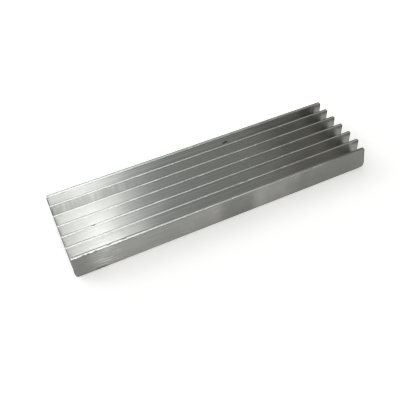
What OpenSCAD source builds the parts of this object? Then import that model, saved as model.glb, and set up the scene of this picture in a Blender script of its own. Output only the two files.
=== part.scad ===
// Extruded heat sink: a flat base plate with a row of straight, tapered fins along its whole length.
// Millimetres. +X runs along the fins and +Z from the mounting face to the fin tips.
// The origin is the middle of the mounting face.

/* [Body] */
// Length of the sawn piece, along the fins
length = 100; // [40:1:300]
// Width over the outer faces of the two outer fins
width = 28; // [20:0.5:60]
// Height from the mounting face to the fin tips
height = 9; // [6:0.5:20]
// Thickness of the base plate at the floor of the channels
base_thickness = 2; // [1.6:0.1:4]
// Radius along the two lower long edges
edge_radius = 1.3; // [0.4:0.1:1.5]

/* [Fins] */
// Number of fins, counting the two outer ones
fin_count = 7; // [3:1:9]
// Thickness of an inner fin at its tip
inner_tip = 0.7; // [0.5:0.05:1.2]
// Thickness of an inner fin at the floor of the channels
inner_root = 1.1; // [0.8:0.05:1.6]
// Thickness of an outer fin at its tip
outer_tip = 0.9; // [0.5:0.05:1.4]
// Thickness of an outer fin at the floor of the channels
outer_root = 1.2; // [0.9:0.05:1.8]
// Radius along the edges of every fin tip
tip_radius = 0.15; // [0.05:0.05:0.2]
// Fillet between a fin and the floor of a channel
root_fillet = 0.5; // [0.2:0.1:0.7]

/* [Sawn ends] */
// Radius that the deburred fin tips have at the two sawn ends
end_radius = 0.5; // [0.2:0.1:1]

/* [Hidden] */
$fn = 64;
// How far a cutting shape runs past the face that it cuts
overcut = 1;
// A corner piece runs past its two edges by a share of its radius
corner_reach = 1.25;
// An arc is larger than its radius by this much, so that it crosses its edges and doesn't only touch them
arc_margin = 0.001;
SIDES = [-1, 1];
last_fin = fin_count - 1;
pitch = (width - outer_tip) / last_fin;

function unit(v) = v / norm(v);

function is_outer(i) = i == 0 || i == last_fin;

// An outer fin's outer face is flush with the side of the base, and straight
function is_flush(i, side) = (i == 0 && side < 0) || (i == last_fin && side > 0);

function tip_thickness(i) = is_outer(i) ? outer_tip : inner_tip;

// How much further out a fin's face is at its root than at its tip
function taper(i) = is_outer(i) ? outer_root - outer_tip : (inner_root - inner_tip) / 2;

function tip_y(i, side) = (i - last_fin / 2) * pitch + side * tip_thickness(i) / 2;

function root_y(i, side) = tip_y(i, side) + (is_flush(i, side) ? 0 : side * taper(i));

function tip_point(i, side) = [tip_y(i, side), height];

function root_point(i, side) = [root_y(i, side), base_thickness];

function wall_up(i, side) = unit(tip_point(i, side) - root_point(i, side));

// The area between two straight edges and the arc that rounds their corner.
// The edges leave the corner along the unit vectors u and v.
// Taken away from an outline, it rounds that corner.
module corner_piece(corner, u, v, radius) {
    half_angle = acos(u * v) / 2;
    centre = corner + unit(u + v) * radius / sin(half_angle);
    edge_length = radius / tan(half_angle);
    kite = [corner + u * edge_length, corner, corner + v * edge_length];
    difference() {
        polygon([centre, for (p = kite) centre + (p - centre) * corner_reach]);
        translate(centre)
            circle(r = radius + arc_margin);
    }
}

// Outline of the space between fin i and the next fin, open at the top and with a rounded floor
module channel(i) {
    walls = [[i, 1], [i + 1, -1]];
    floor_points = [for (w = walls) root_point(w[0], w[1])];
    mouth_points = [for (w = walls) tip_point(w[0], w[1]) + wall_up(w[0], w[1]) * overcut];
    difference() {
        polygon([floor_points[0], floor_points[1], mouth_points[1], mouth_points[0]]);
        for (w = walls)
            corner_piece(root_point(w[0], w[1]), wall_up(w[0], w[1]), [w[1], 0], root_fillet);
    }
}

// Cross-section of the extrusion, with Y across the fins and Z up
module fin_profile() {
    difference() {
        translate([-width / 2, 0])
            square([width, height]);
        for (i = [0 : last_fin - 1])
            channel(i);
        for (i = [0 : last_fin], side = SIDES)
            corner_piece(tip_point(i, side), -wall_up(i, side), [-side, 0], tip_radius);
        for (side = SIDES)
            corner_piece([side * width / 2, 0], [0, 1], [-side, 0], edge_radius);
    }
}

// Cutter that rounds all the fin tips at one sawn end
module end_rounding(end) {
    rotate([90, 0, 0])
        linear_extrude(height = width + 2 * overcut, center = true)
            corner_piece([end * length / 2, height], [0, -1], [-end, 0], end_radius);
}

module heat_sink() {
    color("silver")
        difference() {
            rotate([90, 0, 90])
                linear_extrude(height = length, center = true)
                    fin_profile();
            for (end = SIDES)
                end_rounding(end);
        }
}

heat_sink();
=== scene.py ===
"""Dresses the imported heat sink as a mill-finish aluminium extrusion on a pale studio floor.

The mesh is made in the order in which the real piece is: the section is drawn from a slab, its fins are
raised, tapered and rounded, the sawn ends are deburred, and the marks of handling come last. Lengths are in
metres, apart from those that are given in millimetres.
"""

import logging
import math
from collections.abc import Callable, Iterable, Mapping
from dataclasses import dataclass
from enum import Enum
from typing import ClassVar, Union

import bmesh
import bpy
from mathutils import Matrix, Quaternion, Vector


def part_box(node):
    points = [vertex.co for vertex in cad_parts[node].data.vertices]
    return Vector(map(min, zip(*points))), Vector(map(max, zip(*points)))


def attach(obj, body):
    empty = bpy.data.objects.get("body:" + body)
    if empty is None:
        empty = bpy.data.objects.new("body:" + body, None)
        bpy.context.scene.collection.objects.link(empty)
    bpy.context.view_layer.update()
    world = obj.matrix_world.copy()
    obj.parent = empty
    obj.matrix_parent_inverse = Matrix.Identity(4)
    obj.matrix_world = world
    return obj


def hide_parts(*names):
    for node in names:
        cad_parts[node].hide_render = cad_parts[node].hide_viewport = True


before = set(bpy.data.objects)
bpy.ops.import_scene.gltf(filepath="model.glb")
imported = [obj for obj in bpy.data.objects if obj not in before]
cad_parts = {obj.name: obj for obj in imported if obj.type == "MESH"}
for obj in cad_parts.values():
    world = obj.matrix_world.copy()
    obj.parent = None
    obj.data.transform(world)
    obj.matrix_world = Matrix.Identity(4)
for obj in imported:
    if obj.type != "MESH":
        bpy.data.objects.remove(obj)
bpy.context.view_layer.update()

log = logging.getLogger("heat_sink")

Point = tuple[float, float, float]
Tint = tuple[float, float, float]
Ends = tuple[float, float]
Value = Union["Wire", float]

MM = 0.001
NODE = "heat_sink"
BODY = "root"
SLOT = "mill_aluminium"
END_LOSS = "end_loss"
ORIGIN: Point = (0.0, 0.0, 0.0)
WHITE: Tint = (1.0, 1.0, 1.0)
BLACK: Tint = (0.0, 0.0, 0.0)
NOISE_MIDDLE = 0.5
FLAT_ANGLE = math.radians(0.1)
SMOOTH_ANGLE = math.radians(30.0)
SHARP_ANGLE = math.radians(35.0)


class Side(Enum):
    """A direction across the fins."""

    NEAR = -1.0
    FAR = 1.0


class End(Enum):
    """A direction along the fins."""

    LEFT = -1.0
    RIGHT = 1.0


@dataclass(frozen=True)
class Wire:
    """An output socket on which shader maths is written as Python.

    Attributes:
        graph: The nodes that it belongs to.
        socket: The socket itself.
    """

    graph: "Graph"
    socket: bpy.types.NodeSocket

    def __add__(self, other: Value) -> "Wire":
        """Adds a value or another wire."""
        return self.graph.math("ADD", self, other)

    def __radd__(self, other: Value) -> "Wire":
        """Adds this wire to a value."""
        return self.graph.math("ADD", other, self)

    def __sub__(self, other: Value) -> "Wire":
        """Takes a value or another wire away."""
        return self.graph.math("SUBTRACT", self, other)

    def __rsub__(self, other: Value) -> "Wire":
        """Takes this wire away from a value."""
        return self.graph.math("SUBTRACT", other, self)

    def __mul__(self, other: Value) -> "Wire":
        """Multiplies by a value or another wire."""
        return self.graph.math("MULTIPLY", self, other)

    def __rmul__(self, other: Value) -> "Wire":
        """Multiplies a value by this wire."""
        return self.graph.math("MULTIPLY", other, self)

    def __abs__(self) -> "Wire":
        """The size of the value, without its sign."""
        return self.graph.math("ABSOLUTE", self)


class Graph:
    """The nodes of one material, or of the world."""

    def __init__(self, tree: bpy.types.NodeTree) -> None:
        """Empties a node tree to build in.

        Args:
            tree: The node tree of a material or of the world.
        """
        self.tree = tree
        self.tree.nodes.clear()

    def node(
        self,
        kind: str,
        settings: Mapping[str, object] | None = None,
        sockets: Mapping[str | int, object] | None = None,
    ) -> bpy.types.Node:
        """Adds one node.

        Args:
            kind: The node's type, as Blender names it.
            settings: Its own settings, which are set before its sockets.
            sockets: A value or a wire for each input socket, by name or number.

        Returns:
            The new node.
        """
        made = self.tree.nodes.new(kind)
        for name, value in (settings or {}).items():
            setattr(made, name, value)
        for name, value in (sockets or {}).items():
            if isinstance(value, Wire):
                self.tree.links.new(value.socket, made.inputs[name])
            else:
                made.inputs[name].default_value = value
        return made

    def wire(
        self,
        kind: str,
        output: str | int,
        settings: Mapping[str, object] | None = None,
        sockets: Mapping[str | int, object] | None = None,
    ) -> Wire:
        """Adds one node and gives one of its outputs.

        Args:
            kind: The node's type, as Blender names it.
            output: The output socket, by name or number.
            settings: As in node().
            sockets: As in node().

        Returns:
            That output as a wire.
        """
        return Wire(self, self.node(kind, settings, sockets).outputs[output])

    def math(self, operation: str, *terms: Value) -> Wire:
        """Adds a Math node.

        Args:
            operation: The node's operation.
            terms: Its values or wires, in order.

        Returns:
            The result.
        """
        return self.wire("ShaderNodeMath", 0, {"operation": operation}, dict(enumerate(terms)))

    def place(self) -> Wire:
        """The place on the piece, in its own coordinates."""
        return self.wire("ShaderNodeTexCoord", "Object")

    def axis(self, vector: Wire, name: str) -> Wire:
        """One component of a vector, by the letter of its axis."""
        return self.wire("ShaderNodeSeparateXYZ", name, None, {"Vector": vector})

    def vector(self, operation: str, first: Wire, second: Point, output: str = "Vector") -> Wire:
        """Adds a Vector Math node.

        Args:
            operation: The node's operation.
            first: The vector that comes in.
            second: The other vector.
            output: The output socket that is wanted.

        Returns:
            The result.
        """
        return self.wire("ShaderNodeVectorMath", output, {"operation": operation}, {0: first, 1: second})

    def noise(self, place: Wire, per_metre: Point, detail: float, roughness: float) -> Wire:
        """Adds noise that is stretched differently along each axis.

        Args:
            place: Where on the piece it is read.
            per_metre: How many features lie in a metre along X, Y and Z.
            detail: How many finer layers are added.
            roughness: How strong the finer layers are.

        Returns:
            A value from about 0 to 1, with NOISE_MIDDLE as its middle.
        """
        stretched = self.vector("MULTIPLY", place, per_metre)
        sockets = {"Vector": stretched, "Scale": 1.0, "Detail": detail, "Roughness": roughness}
        return self.wire("ShaderNodeTexNoise", "Fac", {"noise_dimensions": "3D"}, sockets)

    def rise(self, value: Wire, start: float, stop: float) -> Wire:
        """A smooth step from 0 at start to 1 at stop."""
        sockets = {"Value": value, "From Min": start, "From Max": stop}
        return self.wire("ShaderNodeMapRange", "Result", {"interpolation_type": "SMOOTHSTEP"}, sockets)

    def turned(self, place: Wire, turn: Point) -> Wire:
        """The place, turned about the axes by angles in radians."""
        return self.wire("ShaderNodeMapping", "Vector", None, {"Vector": place, "Rotation": turn})

    def blend(self, mask: Wire, ends: Ends) -> Wire:
        """A value that is the first of two where a mask is 0, and the second where it is 1."""
        return ends[0] + (ends[1] - ends[0]) * mask

    def most(self, first: Wire, *others: Wire) -> Wire:
        """Finds the largest of some values.

        Args:
            first: One of the values.
            others: The rest of them.

        Returns:
            The largest.
        """
        largest = first
        for other in others:
            largest = self.math("MAXIMUM", largest, other)
        return largest

    def bump(self, height: Wire) -> Wire:
        """A normal that follows a height in metres."""
        sockets = {"Strength": 1.0, "Distance": 1.0, "Height": height}
        return self.wire("ShaderNodeBump", "Normal", None, sockets)

    def tint(self, factor: Wire, first: Wire | Tint, second: Wire | Tint) -> Wire:
        """Mixes two colours.

        Args:
            factor: How much of the second colour there is.
            first: The colour at factor 0.
            second: The colour at factor 1.

        Returns:
            The mixed colour.
        """
        node = self.node("ShaderNodeMix", {"data_type": "RGBA"})
        for name, value in (("Factor_Float", factor), ("A_Color", first), ("B_Color", second)):
            socket = next(s for s in node.inputs if s.identifier == name)
            if isinstance(value, Wire):
                self.tree.links.new(value.socket, socket)
            else:
                socket.default_value = (*value, 1.0)
        return Wire(self, next(s for s in node.outputs if s.identifier == "Result_Color"))


@dataclass(frozen=True)
class Span:
    """A stretch over which a mask rises from 0 to 1.

    Attributes:
        start: Where it leaves 0.
        stop: Where it reaches 1.
    """

    start: float
    stop: float

    def mask(self, graph: Graph, value: Wire, origin: float = 0.0) -> Wire:
        """The mask of a value, with the stretch measured from an origin."""
        return graph.rise(value, origin + self.start, origin + self.stop)


@dataclass(frozen=True)
class Grain:
    """One kind of fine unevenness in a surface.

    Attributes:
        per_metre: How many features lie in a metre along X, Y and Z.
        layers: How many finer layers are added.
        finer: How strong the finer layers are.
        weight: How much it counts where it is added to another grain.
        depth: How deep it is, in metres.
        spread: How much it changes the roughness.
        tilt: How far it is turned about Y, in radians.
        shown: The stretch of its noise over which its marks show.
    """

    per_metre: Point
    layers: float = 3.0
    finer: float = 0.6
    weight: float = 1.0
    depth: float = 0.0
    spread: float = 0.0
    tilt: float = 0.0
    shown: Span = Span(0.0, 1.0)

    def noise(self, graph: Graph, place: Wire) -> Wire:
        """The noise itself, from about 0 to 1."""
        turned = graph.turned(place, (0.0, self.tilt, 0.0)) if self.tilt else place
        return graph.noise(turned, self.per_metre, self.layers, self.finer)

    def marks(self, graph: Graph, place: Wire) -> Wire:
        """A mask of its marks."""
        return self.shown.mask(graph, self.noise(graph, place))

    def roughness(self, noise: Wire) -> Wire:
        """How much rougher its noise makes the surface."""
        return self.spread * (noise - NOISE_MIDDLE)


@dataclass(frozen=True)
class Spot:
    """A place on the surface where a mark is.

    Attributes:
        middle: The mark's middle, in millimetres.
        reach: How far it reaches along X, Y and Z, in millimetres.
        CORE: The share of its reach within which a mark is full.
    """

    middle: Point
    reach: Point
    CORE: ClassVar[float] = 0.35

    def mask(
        self, graph: Graph, place: Wire, ragged: Value = 0.0, spread: float = 1.0, tilt: float = 0.0
    ) -> Wire:
        """Builds a soft mask that is 1 in the mark and 0 away from it.

        Args:
            graph: The material's nodes.
            place: The place on the piece.
            ragged: What is added to the distance, to make the edge uneven.
            spread: How much further the mask reaches than the mark.
            tilt: How far the mark is turned about Y, in radians.

        Returns:
            The mask.
        """
        middle = tuple(Matrix.Rotation(tilt, 3, "Y") @ Vector(self.middle) * MM)
        place = graph.turned(place, (0.0, tilt, 0.0))
        per_reach = tuple(1.0 / (value * spread * MM) for value in self.reach)
        away = graph.vector("MULTIPLY", graph.vector("SUBTRACT", place, middle), per_reach)
        distance = graph.vector("LENGTH", away, ORIGIN, "Value")
        return 1.0 - graph.rise(distance + ragged, self.CORE, 1.0)

    def cutter(self) -> bpy.types.Object:
        """Models a rough lump of the mark's size, to cut a chip out of the metal.

        Returns:
            The lump.
        """
        bpy.ops.object.select_all(action="DESELECT")
        bpy.ops.mesh.primitive_ico_sphere_add(subdivisions=2, radius=1.0)
        lump = bpy.context.active_object
        lump.name = "chip_cutter"
        with Workbench(lump):
            bpy.ops.mesh.select_all(action="SELECT")
            bpy.ops.transform.vertex_random(offset=0.25, uniform=0.6, seed=7)
        lump.scale = tuple(value * MM for value in self.reach)
        lump.location = tuple(value * MM for value in self.middle)
        bpy.ops.object.transform_apply(location=True, rotation=True, scale=True)
        return lump


@dataclass(frozen=True)
class Zones:
    """Masks of the parts of the surface, each 1 inside and 0 outside.

    Attributes:
        place: The place on the piece.
        handled: The outer faces, the underside, the fin tips and the sawn ends.
        sawn: The two sawn ends.
        rims: The faces right beside a sawn end.
        end_shade: The stretch before the right end, where shade is painted.
        tips: The fin tips, where they are rubbed bright, less so where shade is painted toward the right
            end.
        painted_lips: The edges of the fin tips, painted dark as shade.
        stained: The one fin face that is more oxidised than the others.
        streaky: The far channel, whose die lines are the strongest.
    """

    place: Wire
    handled: Wire
    sawn: Wire
    rims: Wire
    end_shade: Wire
    tips: Wire
    painted_lips: Wire
    stained: Wire
    streaky: Wire


@dataclass(frozen=True)
class SurfacePlan:
    """Where the parts of the surface lie, each measured from an edge of the piece.

    Attributes:
        saw_cut: The sawn ends, from an end.
        rim: The faces beside them, from an end.
        end_shade_spans: The stretches with painted shade, from the right end, each after its strength.
        corner_shade: How much painted shade the fins' upper right corners get.
        corner_along: Those corners, from the right end.
        corner_up: Those corners, from the tips.
        crown: The fin tips, from the top.
        lip: The faces just under the tips, from the top.
        lip_shade_strength: How dark the shade painted on those faces is.
        far_edge: The far edge of a fin tip, from the fin's middle.
        far_edge_shades: How dark the shade painted on that edge is, on the outer fin and on the inner ones.
        inner_fins: Where the inner fins begin, from the near side.
        lip_shade_fade: Where that painted shade becomes whole, from the left end.
        lip_shade_fade_strengths: How much of it there is, before that and after.
        tip_end_shade: Where shade is painted on the tips, from the right end.
        tip_end_shade_strengths: How much shade that is, on the outer fin and on the inner ones.
        outside: The outer faces, from a side.
        under: The piece above its underside, from the sole.
        stain_fade: Where the stain thins out, from the left end.
        stain_strengths: How much of the stain there is, before that and after.
        blur: How soft the limits of the stained face are.
        streaky_reach: How far behind that face the die lines are strong.
    """

    saw_cut: Span = Span(-0.06 * MM, -0.01 * MM)
    rim: Span = Span(-0.55 * MM, -0.10 * MM)
    end_shade_spans: tuple[tuple[float, Span], ...] = (
        (0.25, Span(-30.0 * MM, -14.0 * MM)),
        (0.72, Span(-5.6 * MM, -3.8 * MM)),
        (0.18, Span(-4.2 * MM, -2.4 * MM)),
    )
    corner_shade: float = 0.35
    corner_along: Span = Span(-4.0 * MM, -1.0 * MM)
    corner_up: Span = Span(-2.0 * MM, -0.6 * MM)
    crown: Span = Span(-0.16 * MM, -0.04 * MM)
    lip: Span = Span(-0.60 * MM, -0.40 * MM)
    lip_shade_strength: float = 0.5
    far_edge: Span = Span(0.08 * MM, 0.18 * MM)
    far_edge_shades: Ends = (0.25, 1.0)
    inner_fins: Span = Span(1.1 * MM, 1.6 * MM)
    lip_shade_fade: Span = Span(17.0 * MM, 34.0 * MM)
    lip_shade_fade_strengths: Ends = (0.4, 1.0)
    tip_end_shade: Span = Span(-26.0 * MM, -6.0 * MM)
    tip_end_shade_strengths: Ends = (0.85, 0.50)
    outside: Span = Span(-0.30 * MM, -0.10 * MM)
    under: Span = Span(0.2 * MM, 0.6 * MM)
    stain_fade: Span = Span(16.0 * MM, 34.0 * MM)
    stain_strengths: Ends = (1.0, 0.15)
    blur: float = 0.1 * MM
    streaky_reach: float = 2.0 * MM

    def zones(self, graph: Graph, low: Vector, high: Vector, pitch: float, stained_face: Ends) -> Zones:
        """Marks out the parts of the surface.

        Args:
            graph: The material's nodes.
            low: The lowest corner of the piece.
            high: The highest corner of the piece.
            pitch: How far apart the middles of the fins are.
            stained_face: Where the face that is more oxidised lies across the fins.

        Returns:
            The masks.
        """
        place = graph.place()
        x, y, up = (graph.axis(place, name) for name in "XYZ")
        gone = graph.wire("ShaderNodeAttribute", "Fac", {"attribute_name": END_LOSS})
        along = abs(x) + gone
        sawn = self.saw_cut.mask(graph, along, high.x)
        # Shade is painted over the stretches before the right end and on the fins' upper right corners
        corner = self.corner_along.mask(graph, x, high.x) * self.corner_up.mask(graph, up, high.z)
        end_shade = self.corner_shade * corner
        for strength, span in self.end_shade_spans:
            end_shade = end_shade + strength * span.mask(graph, x, high.x)
        crown = self.crown.mask(graph, up, high.z)
        far_edge = self.far_edge.mask(graph, graph.math("WRAP", y, pitch / 2.0, -pitch / 2.0))
        inner = self.inner_fins.mask(graph, y, low.y)
        # Shade is painted on the tips toward the right end, more on the outer fin
        tip_end_shade = self.tip_end_shade.mask(graph, x, high.x) * graph.blend(inner, self.tip_end_shade_strengths)
        # The tips' far edges and the faces just under the tips get painted shade, lighter toward the left
        # end
        painted_lips = self.lip_shade_strength * self.lip.mask(graph, up, high.z) * (1.0 - crown)
        painted_lips = painted_lips + crown * far_edge * graph.blend(inner, self.far_edge_shades)
        outside = self.outside.mask(graph, abs(y), high.y)
        under = 1.0 - self.under.mask(graph, up, low.z)
        near, far = stained_face
        stained = graph.rise(y, near - self.blur, near) * (1.0 - graph.rise(y, far, far + self.blur))
        return Zones(
            place=place,
            handled=graph.most(sawn, outside, under, crown),
            sawn=sawn,
            rims=self.rim.mask(graph, along, high.x),
            end_shade=end_shade,
            tips=crown * (1.0 - far_edge) * (1.0 - tip_end_shade),
            painted_lips=painted_lips * graph.blend(self.lip_shade_fade.mask(graph, x, low.x), self.lip_shade_fade_strengths),
            stained=stained * graph.blend(self.stain_fade.mask(graph, x, low.x), self.stain_strengths),
            streaky=graph.rise(y, far + self.blur, far + self.streaky_reach),
        )


@dataclass(frozen=True)
class MillAluminium:
    """Bare extruded aluminium: bright drawn channels, duller handled faces outside with painted shade, sawn
    ends.

    Attributes:
        drawn_tint: The metal's colour in the channels, as the die left it.
        burnished_tint: Its colour in the far channel, which the die left brighter.
        dull_tint: Its colour in the channels along the duller die lines.
        stained_tint: Its colour on the face that is more oxidised.
        tip_tint: Its colour on the fin tips.
        handled_and_shade_tint: Its colour on the outer faces, which are rubbed and oxidised, and darkened
            further as painted shade.
        worn_and_shade_tint: Its colour there where it is rubbed bright, darkened in the same way.
        shade_and_grime_tint: Its colour where shade is painted, in the chips, on the tip edges, on the rims
            and toward the right end, and in the soiled middle smudge.
        fine_roughness: How rough the channels are along their fine die lines.
        coarse_roughness: How rough they are along their coarse die lines.
        handled_roughness: How rough the outer faces are.
        stain_roughness: How much rougher the more oxidised face is.
        burnish: How much smoother the far channel is.
        scratch_polish: How much smoother a scratch is than the face around it.
        tip_polish: How much smoother the fin tips are than the outer faces.
        coarse_shares: How much of a channel is coarse, off its die lines and on them.
        line_strengths: How strongly the die lines show, in most channels and in the far one.
        lined: The stretch of the die lines' noise over which they show.
        worn: The stretch of the rubbing's noise over which it shows.
        scuff_wear: How much a scuff adds to the rubbing.
        rim_shade: How dark the shade painted on the rims is.
        channel_lip_shade: How dark the shade painted on the edges of the tips is inside the channels.
        end_shade_strength: How dark the shade painted on the stretch before the right end is.
        smudge_and_shade_strength: How dark a smudge or a painted shade there is.
        scratch_shine: How much of the drawn colour a scratch shows.
        scratch_burr: How far a scratch's burr stands up, in metres.
        scuff_fray: How uneven a scuff's outline is.
        smudge_and_shade_fray: How uneven their outline is.
        chip_shade_spread: How much further the shade painted in a chip reaches than the chip.
        saw_centre: The saw blade's middle as it leaves the cut, in millimetres across and up.
        streaks: The fine die lines.
        lanes: The coarse die lines.
        mottle: The channels' slight unevenness.
        blotches: The oxide's blotches on the more oxidised face.
        grain: The outer faces' finest grain.
        rubs: The rubbing along the outer faces.
        clouds: The slow change of tone over the outer faces.
        hairs: The fine scratches in a scuff, nearly along the fins.
        nicks: The short scratches in a scuff, across the fins.
        saw_lines: The saw's marks, by their distance from its middle.
        scratches: Single long scratches on the outer faces.
        scuffs: Places on the outer faces that are scratched bright.
        smudges_and_shade: Places on the outer faces that are darker: a soiled smudge in the middle, and
            painted shade at both ends.
        plan: Where the parts of the surface lie.
    """

    drawn_tint: Tint = (0.92, 0.92, 0.91)
    burnished_tint: Tint = (0.96, 0.96, 0.95)
    dull_tint: Tint = (0.78, 0.78, 0.77)
    stained_tint: Tint = (0.70, 0.70, 0.68)
    tip_tint: Tint = (0.96, 0.96, 0.95)
    handled_and_shade_tint: Tint = (0.291, 0.290, 0.281)
    worn_and_shade_tint: Tint = (0.353, 0.352, 0.343)
    shade_and_grime_tint: Tint = (0.13, 0.13, 0.12)
    fine_roughness: float = 0.215
    coarse_roughness: float = 0.315
    handled_roughness: float = 0.48
    stain_roughness: float = 0.05
    burnish: float = 0.015
    scratch_polish: float = 0.10
    tip_polish: float = 0.22
    coarse_shares: Ends = (0.34, 0.64)
    line_strengths: Ends = (0.35, 0.75)
    lined: Span = Span(0.50, 0.76)
    worn: Span = Span(0.45, 0.80)
    scuff_wear: float = 0.06
    rim_shade: float = 0.50
    channel_lip_shade: float = 0.35
    end_shade_strength: float = 0.70
    smudge_and_shade_strength: float = 0.55
    scratch_shine: float = 0.32
    scratch_burr: float = 4.0e-6
    scuff_fray: float = 0.7
    smudge_and_shade_fray: float = 0.6
    chip_shade_spread: float = 2.2
    saw_centre: Point = (0.0, 60.0, 75.0)
    streaks: Grain = Grain((5.0, 2400.0, 2400.0), finer=0.65, weight=0.7, depth=1.0e-6)
    lanes: Grain = Grain((3.0, 620.0, 620.0), layers=2.0, finer=0.5, weight=0.5, depth=2.0e-6, spread=0.04)
    mottle: Grain = Grain((420.0, 160.0, 160.0), depth=3.0e-6, spread=0.03)
    blotches: Grain = Grain((850.0, 160.0, 160.0), shown=Span(0.34, 0.62))
    grain: Grain = Grain((2600.0, 4200.0, 4200.0), depth=2.5e-6)
    rubs: Grain = Grain((70.0, 900.0, 900.0), weight=0.5, depth=4.0e-6, spread=0.12)
    clouds: Grain = Grain((140.0, 70.0, 70.0), finer=0.55, weight=0.7, spread=0.10)
    hairs: Grain = Grain((130.0, 3400.0, 3400.0), layers=2.0, tilt=-0.10, shown=Span(0.54, 0.66))
    nicks: Grain = Grain((420.0, 3000.0, 3000.0), layers=2.0, tilt=0.9, shown=Span(0.58, 0.70))
    saw_lines: Grain = Grain((3200.0, 0.0, 0.0), depth=1.6e-5)
    scratches: tuple[Spot, ...] = (Spot((-40.65, -14.0, 4.03), (3.2, 1.0, 0.16)),)
    scuffs: tuple[Spot, ...] = (Spot((-39.6, -14.0, 4.8), (7.5, 2.0, 8.0)),)
    smudges_and_shade: tuple[Spot, ...] = (
        # Painted shade at the left end of the near wall
        Spot((-52.0, -14.0, 4.5), (11.0, 2.0, 20.0)),
        # A soiled smudge in the middle of the near wall
        Spot((3.6, -14.0, 4.5), (8.5, 2.0, 12.0)),
        # Painted shade toward the right end of the near wall
        Spot((52.0, -14.0, 4.0), (48.0, 2.0, 20.0)),
    )
    plan: SurfacePlan = SurfacePlan()

    def drawn(self, graph: Graph, zones: Zones, chip_shade: Wire) -> Wire:
        """Builds the channels' surface, where fine die lines spread the light across the fins.

        Args:
            graph: The material's nodes.
            zones: The parts of the surface.
            chip_shade: Where the chips are, with shade painted in and around them.

        Returns:
            The shader.
        """
        streaks = self.streaks.noise(graph, zones.place)
        lanes = self.lanes.noise(graph, zones.place)
        mottle = self.mottle.noise(graph, zones.place)
        lined = self.lined.mask(graph, streaks * self.streaks.weight + lanes * self.lanes.weight)
        lined = lined * graph.blend(zones.streaky, self.line_strengths)
        stain = zones.stained * self.blotches.marks(graph, zones.place)
        tint = graph.tint(zones.streaky, self.drawn_tint, self.burnished_tint)
        tint = graph.tint(lined, tint, self.dull_tint)
        tint = graph.tint(stain, tint, self.stained_tint)
        # The rims beside the sawn ends get painted shade
        rims = zones.rims * self.rim_shade
        # Painted shade in the chips, on the rims, on the tip edges and toward the right end
        painted_shade = graph.most(chip_shade, rims, zones.painted_lips * self.channel_lip_shade, zones.end_shade * self.end_shade_strength)
        tint = graph.tint(painted_shade, tint, self.shade_and_grime_tint)
        height = streaks * self.streaks.depth + lanes * self.lanes.depth + mottle * self.mottle.depth
        normal = graph.bump(height)
        rougher = self.lanes.roughness(lanes) + self.mottle.roughness(mottle)
        rougher = rougher + self.stain_roughness * zones.stained - self.burnish * zones.streaky
        layers = {0: graph.blend(lined, self.coarse_shares)}
        for number, base in enumerate((self.fine_roughness, self.coarse_roughness), 1):
            sockets = {
                "Base Color": tint,
                "Metallic": 1.0,
                "Roughness": base + rougher,
                "Anisotropic": 1.0,
                "Anisotropic Rotation": 0.25,
                "Normal": normal,
            }
            layers[number] = graph.wire("ShaderNodeBsdfPrincipled", "BSDF", None, sockets)
        return graph.wire("ShaderNodeMixShader", 0, None, layers)

    def saw_marks(self, graph: Graph, place: Wire) -> Wire:
        """Builds the saw's marks, which are arcs about the blade's middle.

        Args:
            graph: The material's nodes.
            place: The place on the piece.

        Returns:
            Their height.
        """
        away = graph.vector("SUBTRACT", place, tuple(value * MM for value in self.saw_centre))
        across = graph.vector("MULTIPLY", away, (0.0, 1.0, 1.0))
        reach = graph.vector("LENGTH", across, ORIGIN, "Value")
        lines = self.saw_lines.noise(graph, graph.wire("ShaderNodeCombineXYZ", 0, None, {"X": reach}))
        return lines * self.saw_lines.depth

    def handled(self, graph: Graph, zones: Zones, chip_shade: Wire) -> Wire:
        """Builds the outer faces' surface, rubbed matt in every direction, and the saw marks of the ends.

        Args:
            graph: The material's nodes.
            zones: The parts of the surface.
            chip_shade: Where the chips are, with shade painted in and around them.

        Returns:
            The shader.
        """
        place = zones.place
        grain = self.grain.noise(graph, place)
        rubs = self.rubs.noise(graph, place)
        clouds = self.clouds.noise(graph, place)
        fray = clouds - NOISE_MIDDLE
        scuffed = graph.most(*[spot.mask(graph, place, self.scuff_fray * fray) for spot in self.scuffs])
        # A soiled smudge, and painted shade at both ends of the near wall
        grimy_and_shaded = graph.most(*[spot.mask(graph, place, self.smudge_and_shade_fray * fray) for spot in self.smudges_and_shade])
        grimy_and_shaded = self.smudge_and_shade_strength * grimy_and_shaded * (1.0 - zones.tips)
        scratches = [spot.mask(graph, place, tilt=self.hairs.tilt) for spot in self.scratches]
        hatched = graph.most(self.hairs.marks(graph, place), self.nicks.marks(graph, place))
        scratched = graph.most(scuffed * hatched, *scratches)
        rubbed = rubs * self.rubs.weight + clouds * self.clouds.weight + scuffed * self.scuff_wear
        # The outer faces' colour is their oxide, darkened further as painted shade
        tint = graph.tint(self.worn.mask(graph, rubbed), self.handled_and_shade_tint, self.worn_and_shade_tint)
        tint = graph.tint(zones.tips, tint, self.tip_tint)
        tint = graph.tint(scratched * self.scratch_shine, tint, self.drawn_tint)
        # The rims beside the sawn ends get painted shade
        rims = zones.rims * (1.0 - zones.sawn) * self.rim_shade
        # Painted shade in the chips, on the rims and on the tip edges, with the soiled smudge and the
        # painted shade at the wall's ends
        tint = graph.tint(graph.most(chip_shade, rims, zones.painted_lips, grimy_and_shaded), tint, self.shade_and_grime_tint)
        rough = self.handled_roughness + self.clouds.roughness(clouds) + self.rubs.roughness(rubs)
        rough = rough - self.scratch_polish * scratched - self.tip_polish * zones.tips
        plain = grain * self.grain.depth + rubs * self.rubs.depth + scratched * self.scratch_burr
        height = plain + zones.sawn * (self.saw_marks(graph, place) - plain)
        sockets = {"Base Color": tint, "Metallic": 1.0, "Roughness": rough, "Normal": graph.bump(height)}
        return graph.wire("ShaderNodeBsdfPrincipled", "BSDF", None, sockets)

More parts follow.
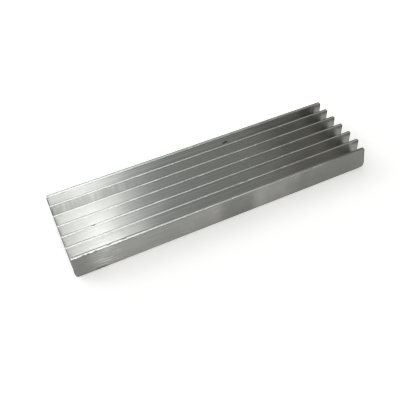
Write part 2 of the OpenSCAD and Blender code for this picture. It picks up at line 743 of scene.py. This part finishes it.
    def build(
        self, low: Vector, high: Vector, pitch: float, stained_face: Ends, chips: Iterable[Spot]
    ) -> bpy.types.Material:
        """Builds the material.

        Args:
            low: The lowest corner of the piece.
            high: The highest corner of the piece.
            pitch: How far apart the middles of the fins are.
            stained_face: Where the face that is more oxidised lies across the fins.
            chips: The chips in the metal, where shade is painted.

        Returns:
            The material.
        """
        material = bpy.data.materials.new(SLOT)
        material.use_nodes = True
        graph = Graph(material.node_tree)
        zones = self.plan.zones(graph, low, high, pitch, stained_face)
        # Shade is painted in and around the chips
        chip_shade = graph.most(*[chip.mask(graph, zones.place, spread=self.chip_shade_spread) for chip in chips])
        sockets = {0: zones.handled, 1: self.drawn(graph, zones, chip_shade), 2: self.handled(graph, zones, chip_shade)}
        surface = graph.wire("ShaderNodeMixShader", 0, None, sockets)
        graph.node("ShaderNodeOutputMaterial", None, {"Surface": surface})
        return material


@dataclass(frozen=True)
class FloorPaper:
    """Pale matt studio paper.

    Attributes:
        tint: The paper's colour.
        shade_tint: Its colour where its fibres lie thicker.
        glow: How much whiter it is where it is seen, directly or mirrored in metal.
        fibre: Its fibres.
    """

    tint: Tint = (0.90, 0.90, 0.90)
    shade_tint: Tint = (0.88, 0.88, 0.88)
    glow: float = 0.27
    fibre: Grain = Grain((900.0, 900.0, 900.0), depth=1.0e-5)

    def build(self) -> bpy.types.Material:
        """Builds the material.

        Returns:
            The material.
        """
        material = bpy.data.materials.new("floor_paper")
        material.use_nodes = True
        graph = Graph(material.node_tree)
        fibre = self.fibre.noise(graph, graph.place())
        shade = graph.tint(fibre, self.tint, self.shade_tint)
        rays = ("Is Camera Ray", "Is Glossy Ray", "Is Transmission Ray")
        seen = graph.most(*[graph.wire("ShaderNodeLightPath", ray) for ray in rays])
        sockets = {
            "Base Color": shade,
            "Roughness": 0.9,
            "Specular IOR Level": 0.1,
            "Normal": graph.bump(fibre * self.fibre.depth),
            "Emission Color": graph.tint(seen, BLACK, shade),
            "Emission Strength": self.glow,
        }
        shader = graph.wire("ShaderNodeBsdfPrincipled", "BSDF", None, sockets)
        graph.node("ShaderNodeOutputMaterial", None, {"Surface": shader})
        return material


class Workbench:
    """One piece to work on: its edges and faces are picked by their place, in edit mode.

    Attributes:
        TOLERANCE: How near to each other two places count as one.
        CUT_TOLERANCE: How near to a cut a point counts as on it.
        FACING: How much of a face's normal lies along an axis that it faces.
    """

    TOLERANCE: ClassVar[float] = 1.0e-6
    CUT_TOLERANCE: ClassVar[float] = 1.0e-7
    FACING: ClassVar[float] = 0.99

    def __init__(self, piece: bpy.types.Object) -> None:
        """Makes a piece the only selected and active object.

        Args:
            piece: The object whose mesh is edited.
        """
        bpy.ops.object.select_all(action="DESELECT")
        piece.select_set(True)
        bpy.context.view_layer.objects.active = piece
        self.piece = piece

    def __enter__(self) -> "Workbench":
        """Enters edit mode."""
        bpy.ops.object.mode_set(mode="EDIT")
        return self

    def __exit__(self, *_: object) -> None:
        """Leaves edit mode."""
        bpy.ops.object.mode_set(mode="OBJECT")

    def pick_faces(self, wanted: Callable[[Vector, Vector], bool]) -> None:
        """Selects faces, and nothing else.

        Args:
            wanted: Tells from a face's middle and normal whether it is selected.
        """
        bpy.ops.mesh.select_mode(type="FACE")
        bpy.ops.mesh.select_all(action="DESELECT")
        mesh = bmesh.from_edit_mesh(self.piece.data)
        for face in mesh.faces:
            if wanted(face.calc_center_median(), face.normal):
                face.select_set(True)
        bmesh.update_edit_mesh(self.piece.data)

    def pick_edges(self, wanted: Callable[[Vector, Vector], bool]) -> None:
        """Selects edges, and nothing else.

        Args:
            wanted: Tells from an edge's two end points whether it is selected.
        """
        bpy.ops.mesh.select_mode(type="EDGE")
        bpy.ops.mesh.select_all(action="DESELECT")
        mesh = bmesh.from_edit_mesh(self.piece.data)
        for edge in mesh.edges:
            if wanted(edge.verts[0].co, edge.verts[1].co):
                edge.select_set(True)
        bmesh.update_edit_mesh(self.piece.data)

    def cut(self, place: Point, normal: Point) -> None:
        """Cuts every face along a plane and keeps both halves."""
        bpy.ops.mesh.select_all(action="SELECT")
        bpy.ops.mesh.bisect(plane_co=place, plane_no=normal, threshold=self.CUT_TOLERANCE)

    def bevel(self, width: float, segments: int) -> None:
        """Rounds the selected edges."""
        bpy.ops.mesh.bevel(
            offset=width,
            offset_type="OFFSET",
            segments=segments,
            profile=0.5,
            affect="EDGES",
            clamp_overlap=False,
        )

    def apply(self, modifier: bpy.types.Modifier) -> None:
        """Applies one of the piece's modifiers, in object mode."""
        bpy.ops.object.modifier_apply(modifier=modifier.name)

    def push(
        self,
        axis: str,
        shares: Mapping[int, float],
        strength: float,
        level: float = 0.0,
        texture: bpy.types.Texture | None = None,
    ) -> None:
        """Pushes points along an axis, in object mode.

        Args:
            axis: The letter of the axis.
            shares: How much of the push each point gets, by its number.
            strength: How far a whole push goes.
            level: The texture's level at which a point stays where it is.
            texture: How the push changes from place to place, if it does.
        """
        group = self.piece.vertex_groups.new(name="pushed")
        for number, share in shares.items():
            group.add([number], share, "REPLACE")
        move = self.piece.modifiers.new("push", "DISPLACE")
        move.texture = texture
        move.texture_coords = "LOCAL"
        move.direction = axis
        move.vertex_group = group.name
        move.strength = strength
        move.mid_level = level
        self.apply(move)
        self.piece.vertex_groups.clear()


@dataclass(frozen=True)
class Fin:
    """One fin of the section.

    Attributes:
        number: Its number, from the near side.
        middle: Where the middle of its tip is, across the fins.
        tip: How thick it is at its tip.
        near_taper: How much further out its near face is at the root.
        far_taper: How much further out its far face is at the root.
    """

    number: int
    middle: float
    tip: float
    near_taper: float
    far_taper: float

    def taper(self, side: Side) -> float:
        """How much further out a face is at the root than at the tip."""
        return self.near_taper if side is Side.NEAR else self.far_taper

    def tip_y(self, side: Side) -> float:
        """Where a face meets the tip."""
        return self.middle + side.value * self.tip / 2.0

    def root_y(self, side: Side) -> float:
        """Where a face meets the base plate."""
        return self.tip_y(side) + side.value * self.taper(side)


@dataclass(frozen=True)
class WornEnd:
    """How far one end of the near fin is cut back from a square cut.

    Attributes:
        end: Which end of the piece it is.
        tip_loss: How much is gone at the fin's tip.
        sole_loss: How much is gone at the sole, under the fin.
    """

    end: End
    tip_loss: float
    sole_loss: float

    def most(self) -> float:
        """The larger of the two losses."""
        return max(self.tip_loss, self.sole_loss)


@dataclass
class FinnedExtrusion:
    """The heat sink: a base plate with straight fins, in one mesh.

    Attributes:
        low: The lowest corner of the CAD node.
        high: The highest corner of the CAD node.
        finish: The metal that it is made of.
        base_thickness: How thick the plate is under the channels.
        edge_radius: The radius along its two lower long edges.
        fin_count: The number of fins, with the outer two.
        inner_tip: How thick an inner fin is at its tip.
        inner_root: How thick an inner fin is at its root.
        outer_tip: How thick an outer fin is at its tip.
        outer_root: How thick an outer fin is at its root.
        root_fillet: The radius between a fin and the plate.
        end_radius: The radius of the fin tips at the sawn ends.
        tip_radius: The radius along the edges of every fin tip.
        burr_radius: The radius that deburring leaves on every other edge.
        stations: How many steps the piece is cut into along its length, for its fins to bend.
        sway: How far the fin tips stray from a straight line.
        sway_length: How far apart the near fin's bends are.
        sway_step: How much further apart they are on each next fin.
        worn_ends: How the ends of the near fin are worn.
        worn_reach: How far in from an end that wear is felt, along and across.
        sole_levels: The heights at which the mesh is cut, for the soles to round up to the last.
        stained_fin: The fin whose near face is more oxidised than the others.
        drawing_centre: The far point about which the drawn metal's direction turns.
        chips: The chips and dents in the metal.
    """

    low: Vector
    high: Vector
    finish: MillAluminium = MillAluminium()
    base_thickness: float = 2.0 * MM
    edge_radius: float = 1.3 * MM
    fin_count: int = 7
    inner_tip: float = 0.7 * MM
    inner_root: float = 1.1 * MM
    outer_tip: float = 0.9 * MM
    outer_root: float = 1.2 * MM
    root_fillet: float = 0.5 * MM
    end_radius: float = 0.5 * MM
    tip_radius: float = 0.22 * MM
    burr_radius: float = 0.05 * MM
    stations: int = 64
    sway: float = 0.16 * MM
    sway_length: float = 17.0 * MM
    sway_step: float = 2.3 * MM
    worn_ends: tuple[WornEnd, ...] = (
        WornEnd(End.LEFT, tip_loss=0.3 * MM, sole_loss=1.3 * MM),
        WornEnd(End.RIGHT, tip_loss=1.1 * MM, sole_loss=1.3 * MM),
    )
    worn_reach: float = 7.0 * MM
    sole_levels: tuple[float, ...] = (1.6 * MM, 2.7 * MM)
    stained_fin: int = 5
    drawing_centre: Point = (0.0, -10.0, 0.0)
    chips: tuple[Spot, ...] = (
        Spot((11.75, 13.05, 6.44), (0.70, 0.24, 0.27)),
        Spot((-42.4, -13.94, 1.00), (1.60, 0.30, 0.34)),
        Spot((-46.05, -14.06, 8.86), (0.36, 0.20, 0.18)),
        Spot((-44.70, -14.06, 8.86), (0.33, 0.19, 0.17)),
        Spot((-42.50, -14.08, 8.86), (0.38, 0.20, 0.19)),
        Spot((-38.40, -13.10, 9.02), (0.60, 0.34, 0.26)),
        Spot((-33.75, -13.10, 9.02), (0.60, 0.34, 0.26)),
        Spot((-40.10, -4.30, 9.02), (0.50, 0.28, 0.18)),
        Spot((-36.70, 14.02, 9.0), (0.55, 0.30, 0.26)),
        Spot((-32.30, 14.02, 9.0), (0.45, 0.28, 0.24)),
        Spot((-30.00, 14.02, 9.0), (0.40, 0.26, 0.22)),
    )

    def pitch(self) -> float:
        """How far apart the middles of the fin tips are."""
        return (self.high.y - self.low.y - self.outer_tip) / (self.fin_count - 1)

    def channel_floor(self) -> float:
        """How high the floor of the channels is."""
        return self.low.z + self.base_thickness

    def fin_share(self, height: float) -> float:
        """How far up the fins a height is, from 0 at the plate to 1 at the tips."""
        return (height - self.channel_floor()) / (self.high.z - self.channel_floor())

    def fins(self) -> list[Fin]:
        """Lays the fins out across the plate.

        Returns:
            The fins, from the near side to the far one.
        """
        last = self.fin_count - 1
        made = []
        for number in range(self.fin_count):
            outer = number in (0, last)
            tip = self.outer_tip if outer else self.inner_tip
            taper = self.outer_root - tip if outer else (self.inner_root - tip) / 2.0
            near_taper = 0.0 if number == 0 else taper
            far_taper = 0.0 if number == last else taper
            made.append(Fin(number, (number - last / 2.0) * self.pitch(), tip, near_taper, far_taper))
        return made

    def draw_slab(self) -> bpy.types.Object:
        """Draws the base plate as a slab.

        Returns:
            The new piece.
        """
        size = self.high - self.low
        bpy.ops.object.select_all(action="DESELECT")
        middle = (0.0, 0.0, self.low.z + self.base_thickness / 2.0)
        bpy.ops.mesh.primitive_cube_add(size=1.0, location=middle)
        piece = bpy.context.active_object
        piece.name = "finned_extrusion"
        piece.data.name = "finned_extrusion"
        piece.scale = (size.x, size.y, self.base_thickness)
        bpy.ops.object.transform_apply(location=True, rotation=True, scale=True)
        return piece

    def raise_fins(self, piece: bpy.types.Object) -> None:
        """Cuts the plate's top into strips and draws the fins up from them.

        Args:
            piece: The slab.
        """
        strips = [(fin.root_y(Side.NEAR), fin.root_y(Side.FAR)) for fin in self.fins()]

        def on_fin(middle: Vector, normal: Vector) -> bool:
            """Whether a face is a strip that a fin stands on."""
            return normal.z > Workbench.FACING and any(near < middle.y < far for near, far in strips)

        with Workbench(piece) as bench:
            for fin in self.fins():
                for side in Side:
                    if fin.taper(side) > 0.0:
                        bench.cut((0.0, fin.root_y(side), 0.0), (0.0, 1.0, 0.0))
            bench.pick_faces(on_fin)
            rise = (0.0, 0.0, self.high.z - self.channel_floor())
            bpy.ops.mesh.extrude_region_move(TRANSFORM_OT_translate={"value": rise})
            for fin in self.fins():
                for side in Side:
                    self.lean_face(bench, fin, side)
            bpy.ops.mesh.select_all(action="SELECT")
            bpy.ops.mesh.dissolve_limited(angle_limit=FLAT_ANGLE)

    def lean_face(self, bench: Workbench, fin: Fin, side: Side) -> None:
        """Moves the upper edge of one face of a fin in, so that the fin tapers.

        Args:
            bench: The piece, in edit mode.
            fin: The fin.
            side: Which of its faces.
        """
        root = fin.root_y(side)

        def on_edge(first: Vector, second: Vector) -> bool:
            """Whether an edge is the face's upper long edge."""
            return all(abs(p.z - self.high.z) + abs(p.y - root) < bench.TOLERANCE for p in (first, second))

        if fin.taper(side) > 0.0:
            bench.pick_edges(on_edge)
            bpy.ops.transform.translate(value=(0.0, -side.value * fin.taper(side), 0.0))

    def round_edges(self, piece: bpy.types.Object) -> None:
        """Rounds the lower edges, the roots and the fin tips, and then every edge that is still sharp.

        Args:
            piece: The piece with its fins.
        """
        slack = Workbench.TOLERANCE
        roots = [fin.root_y(side) for fin in self.fins() for side in Side if fin.taper(side) > 0.0]

        def long_edge(first: Vector, second: Vector) -> bool:
            """Whether an edge runs from end to end, and isn't a short one near an end."""
            return abs(first.x - second.x) > (self.high.x - self.low.x) / 2.0

        def end_tip(first: Vector, second: Vector) -> bool:
            """Whether an edge lies across a fin tip at an end."""
            return min(first.z, second.z) > self.high.z - slack and abs(first.x - second.x) < slack

        def lower_edge(first: Vector, second: Vector) -> bool:
            """Whether an edge is one of the plate's lower long ones."""
            return long_edge(first, second) and max(first.z, second.z) < self.low.z + slack

        def root_edge(first: Vector, second: Vector) -> bool:
            """Whether an edge is where a fin meets the plate."""
            at_root = abs(first.z - self.channel_floor()) < slack
            return at_root and long_edge(first, second) and any(abs(first.y - y) < slack for y in roots)

        def tip_edge(first: Vector, second: Vector) -> bool:
            """Whether an edge runs along a fin tip."""
            return long_edge(first, second) and min(first.z, second.z) > self.high.z - slack

        with Workbench(piece) as bench:
            bench.pick_edges(end_tip)
            bench.bevel(self.end_radius, segments=5)
            bench.pick_edges(lower_edge)
            bench.bevel(self.edge_radius, segments=8)
            bench.pick_edges(root_edge)
            bench.bevel(self.root_fillet, segments=5)
            bench.pick_edges(tip_edge)
            bench.bevel(self.tip_radius, segments=4)
            bpy.ops.mesh.select_all(action="DESELECT")
            bpy.ops.mesh.edges_select_sharp(sharpness=SHARP_ANGLE)
            bench.bevel(self.burr_radius, segments=2)

    def cut_stations(self, piece: bpy.types.Object) -> None:
        """Cuts the long faces across at even steps, so that the fins can bend.

        Args:
            piece: The rounded piece.
        """
        reach = self.high.x - 2.0 * self.end_radius
        with Workbench(piece) as bench:
            for number in range(self.stations + 1):
                along = reach * (2.0 * number / self.stations - 1.0)
                bench.cut((along, 0.0, 0.0), (1.0, 0.0, 0.0))

    def bend_fins(self, piece: bpy.types.Object) -> None:
        """Lets each fin stray a little from its straight line, more at the tip than at the root.

        Args:
            piece: The piece with its stations cut.
        """
        # An outer fin strays inwards only, so that the piece keeps its width
        outer_levels = {0: 0.0, self.fin_count - 1: 1.0}
        for fin in self.fins():
            near = fin.root_y(Side.NEAR) - self.root_fillet
            far = fin.root_y(Side.FAR) + self.root_fillet
            shares = {
                vertex.index: self.fin_share(vertex.co.z)
                for vertex in piece.data.vertices
                if self.fin_share(vertex.co.z) > 0.0 and near < vertex.co.y < far
            }
            clouds = bpy.data.textures.new(f"sway_{fin.number}", "CLOUDS")
            clouds.noise_scale = self.sway_length + fin.number * self.sway_step
            level = outer_levels.get(fin.number, NOISE_MIDDLE)
            Workbench(piece).push("Y", shares, self.sway, level, clouds)

    def end_loss(self, worn: WornEnd, point: Vector) -> float:
        """Finds how far a point of the square cut moves in at a worn end.

        Args:
            worn: The worn end.
            point: A point of the mesh.

        Returns:
            The distance along the piece.
        """
        along = max(0.0, 1.0 - (self.high.x - worn.end.value * point.x) / self.worn_reach)
        across = max(0.0, 1.0 - (point.y - self.low.y) / self.worn_reach)
        on_fin = point.y < self.fins()[0].root_y(Side.FAR) + self.root_fillet
        tip = max(0.0, self.fin_share(point.z)) if on_fin else 0.0
        sole = max(0.0, 1.0 - (point.z - self.low.z) / self.sole_levels[-1]) ** 2
        return along * (worn.tip_loss * tip + worn.sole_loss * sole * across)

    def wear_ends(self, piece: bpy.types.Object) -> None:
        """Cuts the near fin back at its tip and sole, and keeps how much is gone for the metal's saw marks.

        Args:
            piece: The piece with its fins bent.
        """

        def end_face(_: Vector, normal: Vector) -> bool:
            """Whether a face is part of a sawn end."""
            return abs(normal.x) > Workbench.FACING

        with Workbench(piece) as bench:
            for level in self.sole_levels:
                bench.cut((0.0, 0.0, self.low.z + level), (0.0, 0.0, 1.0))
            bench.pick_faces(end_face)
            bpy.ops.mesh.quads_convert_to_tris(ngon_method="BEAUTY")
        gone = dict.fromkeys(range(len(piece.data.vertices)), 0.0)
        for worn in self.worn_ends:
            losses = {vertex.index: self.end_loss(worn, vertex.co) for vertex in piece.data.vertices}
            losses = {number: loss for number, loss in losses.items() if loss > 0.0}
            gone.update(losses)
            shares = {number: loss / worn.most() for number, loss in losses.items()}
            Workbench(piece).push("X", shares, -worn.end.value * worn.most())
        kept = piece.data.attributes.new(END_LOSS, "FLOAT", "POINT")
        kept.data.foreach_set("value", list(gone.values()))

    def chip(self, piece: bpy.types.Object) -> None:
        """Cuts the chips out of the piece.

        Args:
            piece: The piece with its ends worn.
        """
        lumps = [spot.cutter() for spot in self.chips]
        for lump in lumps:
            lump.select_set(True)
        bpy.ops.object.join()
        cutter = bpy.context.active_object
        chips = piece.modifiers.new("chips", "BOOLEAN")
        chips.operation = "DIFFERENCE"
        chips.solver = "EXACT"
        chips.object = cutter
        Workbench(piece).apply(chips)
        bpy.data.objects.remove(cutter, do_unlink=True)

    def dress(self, piece: bpy.types.Object) -> None:
        """Shades the piece, gives it its metal and fixes it to the frame.

        Args:
            piece: The finished mesh.
        """
        bench = Workbench(piece)
        bpy.ops.object.shade_smooth_by_angle(angle=SMOOTH_ANGLE)
        even = piece.modifiers.new("even_normals", "WEIGHTED_NORMAL")
        even.keep_sharp = True
        bench.apply(even)
        # Brushed gloss turns about the middle of the texture space, and a far one lets it follow the fins
        piece.data.use_auto_texspace = False
        piece.data.texspace_location = self.drawing_centre
        piece.data.texspace_size = (1.0, 1.0, 1.0)
        piece.data.materials.clear()
        stained = self.fins()[self.stained_fin]
        stained_face = (stained.root_y(Side.NEAR) - self.sway, stained.tip_y(Side.NEAR) + self.sway)
        metal = self.finish.build(self.low, self.high, self.pitch(), stained_face, self.chips)
        piece.data.materials.append(metal)
        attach(piece, BODY)
        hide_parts(NODE)

    def build(self) -> bpy.types.Object:
        """Builds the whole piece.

        Returns:
            The dressed piece.
        """
        piece = self.draw_slab()
        self.raise_fins(piece)
        self.round_edges(piece)
        self.cut_stations(piece)
        self.bend_fins(piece)
        self.wear_ends(piece)
        self.chip(piece)
        self.dress(piece)
        return piece


@dataclass(frozen=True)
class Softbox:
    """A rectangular studio lamp with an even front.

    Attributes:
        name: What it is called.
        aim: The point that it is turned to.
        toward: The direction in which it stands, seen from there.
        distance: How far away it stands.
        width: Its size along the line in its front that is nearest to X.
        height: Its size at a right angle to that.
        level: How bright its front is, where 1 is white.
    """

    name: str
    aim: Point
    toward: Point
    distance: float
    width: float
    height: float
    level: float

    def build(self) -> bpy.types.Object:
        """Sets the lamp up.

        Returns:
            The lamp.
        """
        direction = Vector(self.toward).normalized()
        bpy.ops.object.select_all(action="DESELECT")
        bpy.ops.object.light_add(type="AREA", location=Vector(self.aim) + direction * self.distance)
        lamp = bpy.context.active_object
        lamp.name = self.name
        across = (Vector((1.0, 0.0, 0.0)) - direction * direction.x).normalized()
        lamp.rotation_euler = Matrix((across, direction.cross(across), direction)).transposed().to_euler()
        lamp.data.shape = "RECTANGLE"
        lamp.data.size = self.width
        lamp.data.size_y = self.height
        lamp.data.energy = self.level * math.pi * self.width * self.height
        return lamp


@dataclass(frozen=True)
class RoomWall:
    """How bright the front or the back of the room is, from its middle to its far right.

    Attributes:
        middle: Its level near the middle.
        right: Its level on the right.
        far: Its level furthest to the right.
        far_span: Where it goes over to that level.
        window: How much brighter the narrow window is.
    """

    middle: float
    right: float
    far: float
    far_span: Span
    window: float

    def level(self, graph: Graph, right: Wire, fall: Wire, window: Wire) -> Wire:
        """Builds the wall's level.

        Args:
            graph: The world's nodes.
            right: How far to the right the light comes from.
            fall: A mask that goes from the middle to the right.
            window: A mask of the window.

        Returns:
            The level.
        """
        far = self.far_span.mask(graph, right) * (self.far - self.right)
        return graph.blend(fall, (self.middle, self.right)) + far + self.window * window


@dataclass(frozen=True)
class Room:
    """The soft light of the room, by the direction that it comes from.

    A stretch is given in X, to the right, or in Y, to the back, of the direction's unit vector.

    Attributes:
        front: The front of the room.
        back: The back of the room.
        turn: Where the front goes over to the back.
        fall: Where the middle goes over to the right.
        window_left: The left edge of the window.
        window_right: The right edge of the window.
        left_level: How much light the left of the room adds.
        left_span: Where that ends.
        right_level: How much light the far right of the room adds.
        right_span: Where that begins.
        cool_tint: The colour of the light on the right.
        cool_span: Where the light goes over to that colour.
        warm_tint: The colour of the light further to the right.
        warm_span: Where the light goes over to that colour.
    """

    front: RoomWall = RoomWall(middle=0.20, right=0.0, far=0.68, far_span=Span(0.455, 0.505), window=8.4)
    back: RoomWall = RoomWall(middle=0.45, right=0.39, far=0.14, far_span=Span(0.33, 0.44), window=2.05)
    turn: Span = Span(-0.35, 0.35)
    fall: Span = Span(0.02, 0.26)
    window_left: Span = Span(0.0, 0.075)
    window_right: Span = Span(0.070, 0.130)
    left_level: float = 0.8
    left_span: Span = Span(-0.40, -0.05)
    right_level: float = 0.6
    right_span: Span = Span(0.58, 0.80)
    cool_tint: Tint = (0.87, 1.0, 0.97)
    cool_span: Span = Span(0.065, 0.14)
    warm_tint: Tint = (1.03, 1.0, 0.86)
    warm_span: Span = Span(0.26, 0.40)

    def build(self) -> None:
        """Gives the world its light."""
        world = bpy.data.worlds.new("studio_room")
        bpy.context.scene.world = world
        world.use_nodes = True
        graph = Graph(world.node_tree)
        toward = graph.wire("ShaderNodeTexCoord", "Generated")
        right = graph.axis(toward, "X")
        fall = self.fall.mask(graph, right)
        window = self.window_left.mask(graph, right) * (1.0 - self.window_right.mask(graph, right))
        front = self.front.level(graph, right, fall, window)
        back = self.back.level(graph, right, fall, window)
        turn = self.turn.mask(graph, graph.axis(toward, "Y"))
        left_side = self.left_level * (1.0 - self.left_span.mask(graph, right))
        right_side = self.right_level * self.right_span.mask(graph, right)
        level = front + turn * (back - front) + left_side + right_side
        tint = graph.tint(self.cool_span.mask(graph, right), WHITE, self.cool_tint)
        tint = graph.tint(self.warm_span.mask(graph, right), tint, self.warm_tint)
        light = graph.wire("ShaderNodeBackground", "Background", None, {"Color": tint, "Strength": level})
        graph.node("ShaderNodeOutputWorld", None, {"Surface": light})


@dataclass(frozen=True)
class Studio:
    """The floor, the lamps and the soft light of the room.

    Attributes:
        floor_radius: How far the flat of the floor reaches.
        floor_sides: How many sides its round rim has.
        sweep_radius: The radius in which the floor's rim sweeps up into a low backdrop.
        sweep_steps: How many strips that sweep is made of.
        paper: What the floor is covered with.
        softboxes: The lamps.
        room: The room's own light.
    """

    floor_radius: float = 2.3
    floor_sides: int = 96
    sweep_radius: float = 0.7
    sweep_steps: int = 10
    paper: FloorPaper = FloorPaper()
    softboxes: tuple[Softbox, ...] = (
        Softbox(
            name="back_softbox",
            aim=(0.0, 0.0, 9.0 * MM),
            toward=(-0.71, 0.51, 0.36),
            distance=1.0,
            width=0.85,
            height=0.7,
            level=1.5,
        ),
    )
    room: Room = Room()

    def build_floor(self) -> bpy.types.Object:
        """Lays the floor, whose round rim sweeps up into a low backdrop.

        Returns:
            The floor.
        """
        bpy.ops.object.select_all(action="DESELECT")
        bpy.ops.mesh.primitive_circle_add(
            vertices=self.floor_sides, radius=self.floor_radius, fill_type="NGON"
        )
        floor = bpy.context.active_object
        floor.name = "studio_floor"
        radius = self.floor_radius
        height = 0.0

        def on_rim(first: Vector, second: Vector) -> bool:
            """Whether an edge lies along the rim as it is now."""
            outermost = min(first.xy.length, second.xy.length) > radius - MM
            return outermost and min(first.z, second.z) > height - MM

        with Workbench(floor) as bench:
            for step in range(1, self.sweep_steps + 1):
                turn = math.pi / 2.0 * step / self.sweep_steps
                next_radius = self.floor_radius + self.sweep_radius * math.sin(turn)
                next_height = self.sweep_radius * (1.0 - math.cos(turn))
                bench.pick_edges(on_rim)
                rise = (0.0, 0.0, next_height - height)
                bpy.ops.mesh.extrude_region_move(TRANSFORM_OT_translate={"value": rise})
                grow = next_radius / radius
                bpy.ops.transform.resize(value=(grow, grow, 1.0), center_override=ORIGIN)
                radius = next_radius
                height = next_height
        bpy.ops.object.shade_smooth_by_angle(angle=SMOOTH_ANGLE)
        floor.data.materials.append(self.paper.build())
        return floor

    def build(self) -> None:
        """Sets the whole studio up."""
        self.build_floor()
        self.room.build()
        for softbox in self.softboxes:
            softbox.build()


@dataclass(frozen=True)
class StudioCamera:
    """The camera, looking down along the piece from its left front.

    Attributes:
        place: Where it stands.
        target: What it looks at.
        roll: How far it is turned about its line of sight.
        lens: Its focal length in millimetres.
    """

    place: Point = (-50.51 * MM, -113.43 * MM, 127.91 * MM)
    target: Point = (-6.57 * MM, -5.91 * MM, 4.50 * MM)
    roll: float = math.radians(-3.958)
    lens: float = 48.725

    def build(self) -> bpy.types.Object:
        """Sets the camera up and makes it the scene's own.

        Returns:
            The camera.
        """
        bpy.ops.object.select_all(action="DESELECT")
        bpy.ops.object.camera_add(location=self.place)
        camera = bpy.context.active_object
        camera.name = "studio_camera"
        sight = (Vector(self.target) - Vector(self.place)).to_track_quat("-Z", "Y")
        camera.rotation_mode = "QUATERNION"
        camera.rotation_quaternion = sight @ Quaternion((0.0, 0.0, 1.0), self.roll)
        camera.data.lens = self.lens
        camera.data.sensor_width = 36.0
        camera.data.clip_start = 0.005
        camera.data.clip_end = 20.0
        bpy.context.scene.camera = camera
        return camera


def main() -> None:
    """Builds the camera, the studio and the heat sink."""
    logging.basicConfig(level=logging.INFO, format="%(name)s: %(message)s")
    scene = bpy.context.scene
    scene.view_settings.view_transform = "Standard"
    # Light goes to and fro many times between two fins
    scene.cycles.glossy_bounces = 10
    scene.cycles.filter_width = 1.2
    StudioCamera().build()
    Studio().build()
    low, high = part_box(NODE)
    piece = FinnedExtrusion(low, high).build()
    piece.data.calc_loop_triangles()
    log.info("%s has %d triangles", piece.name, len(piece.data.loop_triangles))


if __name__ == "__main__":
    main()
